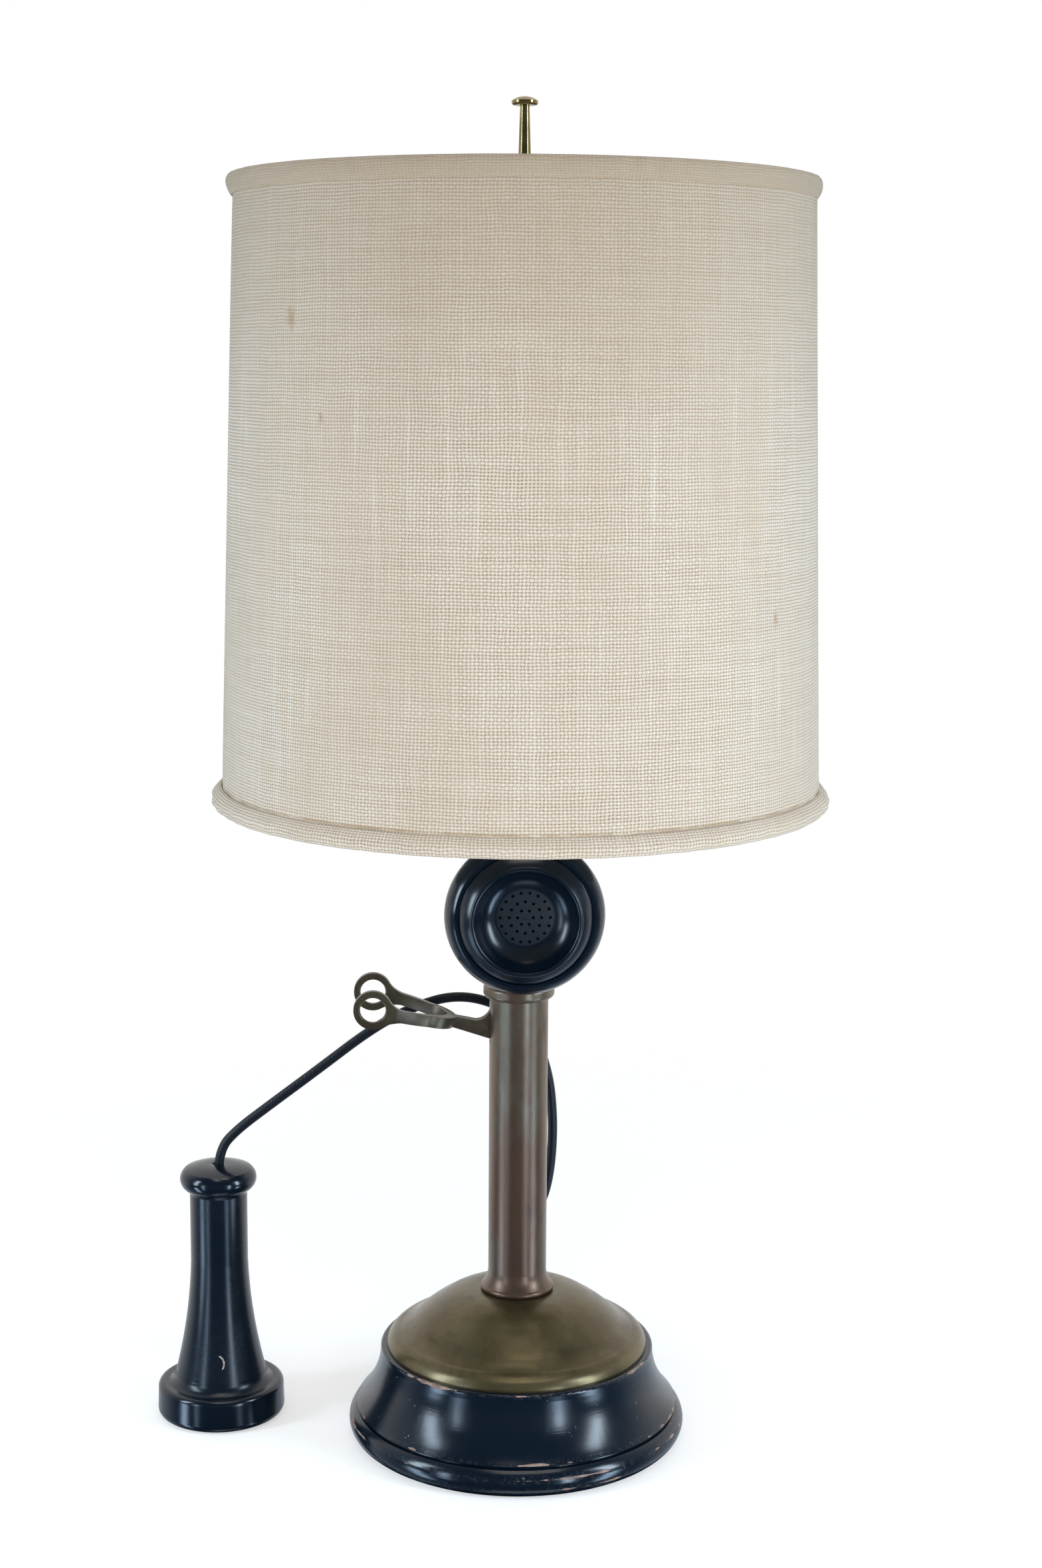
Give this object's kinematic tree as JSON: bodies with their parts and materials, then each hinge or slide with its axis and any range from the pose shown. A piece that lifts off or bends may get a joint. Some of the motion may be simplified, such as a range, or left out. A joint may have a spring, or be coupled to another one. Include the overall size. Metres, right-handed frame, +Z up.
{
  "type": "candlestick telephone table lamp",
  "caption": "Candlestick telephone made into a table lamp: turned black base, brass dome and column, forked hook, tilting transmitter, corded receiver and burlap drum shade.",
  "frame": {"origin": "centre of the base's underside, where it rests on the table", "axes": "+Z up along the column; the mouthpiece faces -Y; the receiver hook points to -X"},
  "size_m": [0.327, 0.294, 0.6438],
  "materials": {
    "felt": "dark green felt",
    "black_wood": "black paint, worn to brown on the edges",
    "rubber_black": "black grommet",
    "dome_brass": "satin aged brass",
    "column_brass": "aged brown-grey brass",
    "hook_brass": "aged brass, brighter inside the fork",
    "fixing_steel": "plain steel",
    "bakelite": "black moulding, satin polish",
    "diaphragm_steel": "thin japanned steel",
    "carbon_button": "brass capsule",
    "coil_copper": "enamelled copper winding",
    "cord_braid": "dark blue-black braid",
    "lamp_brass": "antique brass",
    "liner_card": "pressed card",
    "porcelain": "white porcelain",
    "switch_black": "black key",
    "bulb_glass": "frosted glass",
    "burlap": "plain-weave jute cloth",
    "shade_backing": "white lining sheet",
    "shade_wire": "brass-washed wire"
  },
  "bodies": {
    "stand": {"base_felt": "felt", "wood_base": "black_wood", "mains_cord_bushing": "rubber_black", "base_dome": "dome_brass", "column_tube": "column_brass", "column_cap": "column_brass", "lamp_pipe": "fixing_steel", "pipe_washer": "fixing_steel", "pipe_nut": "fixing_steel", "hook_bracket": "fixing_steel", "hook_pivot_pin": "fixing_steel", "hook_return_spring": "fixing_steel", "tilt_screw": "fixing_steel", "tilt_nut": "fixing_steel", "cord_bushing": "rubber_black", "receiver_cord": "cord_braid", "neck_sleeve": "column_brass", "harp_saddle": "lamp_brass", "harp": "lamp_brass", "socket_cap": "lamp_brass", "socket_shell": "lamp_brass", "socket_insulator": "liner_card", "socket_core": "porcelain", "socket_screw_shell": "lamp_brass", "bulb_base": "lamp_brass", "bulb_glass": "bulb_glass"},
    "hook": {"hook": "hook_brass"},
    "transmitter": {"transmitter_cup": "bakelite", "transmitter_faceplate": "bakelite", "mouthpiece": "bakelite", "transmitter_diaphragm": "diaphragm_steel", "transmitter_button": "carbon_button", "transmitter_lug": "bakelite"},
    "receiver": {"receiver_ear_cap": "bakelite", "receiver_shell": "bakelite", "receiver_tail_cap": "bakelite", "receiver_magnet": "fixing_steel", "receiver_coils": "coil_copper", "receiver_diaphragm": "diaphragm_steel"},
    "switch": {"switch_key": "switch_black"},
    "shade": {"shade_cover": "burlap", "shade_liner": "shade_backing", "shade_trim_top": "burlap", "shade_trim_bottom": "burlap", "shade_ring_top": "shade_wire", "shade_ring_bottom": "shade_wire", "shade_spider": "shade_wire"},
    "finial": {"finial": "lamp_brass"},
    "sleeve_left": {"harp_sleeve_left": "lamp_brass"},
    "sleeve_right": {"harp_sleeve_right": "lamp_brass"}
  },
  "joints": [
    {"name": "hook_pivot", "type": "hinge", "parent": "stand", "child": "hook", "pos_m": [-0.0092, 0, 0.2022], "axis": [0, -1, 0], "range_deg": [0, 12], "stiffness_Nm_per_rad": 0.25, "springref_deg": -22.92},
    {"name": "transmitter_tilt", "type": "hinge", "parent": "stand", "child": "transmitter", "pos_m": [0, -0.012, 0.2337], "axis": [-1, 0, 0], "range_deg": [-20, 12]},
    {"name": "receiver_lift", "type": "slide", "parent": "stand", "child": "receiver", "axis": [0, 0, 1], "range_m": [0, 0.105], "deforming": ["receiver_cord"]},
    {"name": "switch_key_turn", "type": "hinge", "parent": "stand", "child": "switch", "pos_m": [0, 0, 0.3512], "axis": [0, -1, 0], "continuous": true},
    {"name": "shade_swivel", "type": "hinge", "parent": "stand", "child": "shade", "pos_m": [0, 0, 0.5875], "axis": [0, 0, 1], "continuous": true},
    {"name": "finial_turn", "type": "hinge", "parent": "stand", "child": "finial", "pos_m": [0, 0, 0.5903], "axis": [0, 0, 1], "continuous": true},
    {"name": "harp_sleeve_left_lift", "type": "slide", "parent": "stand", "child": "sleeve_left", "axis": [0, 0, 1], "range_m": [0, 0.008]},
    {"name": "harp_sleeve_right_lift", "type": "slide", "parent": "stand", "child": "sleeve_right", "axis": [0, 0, 1], "range_m": [0, 0.008]}
  ]
}
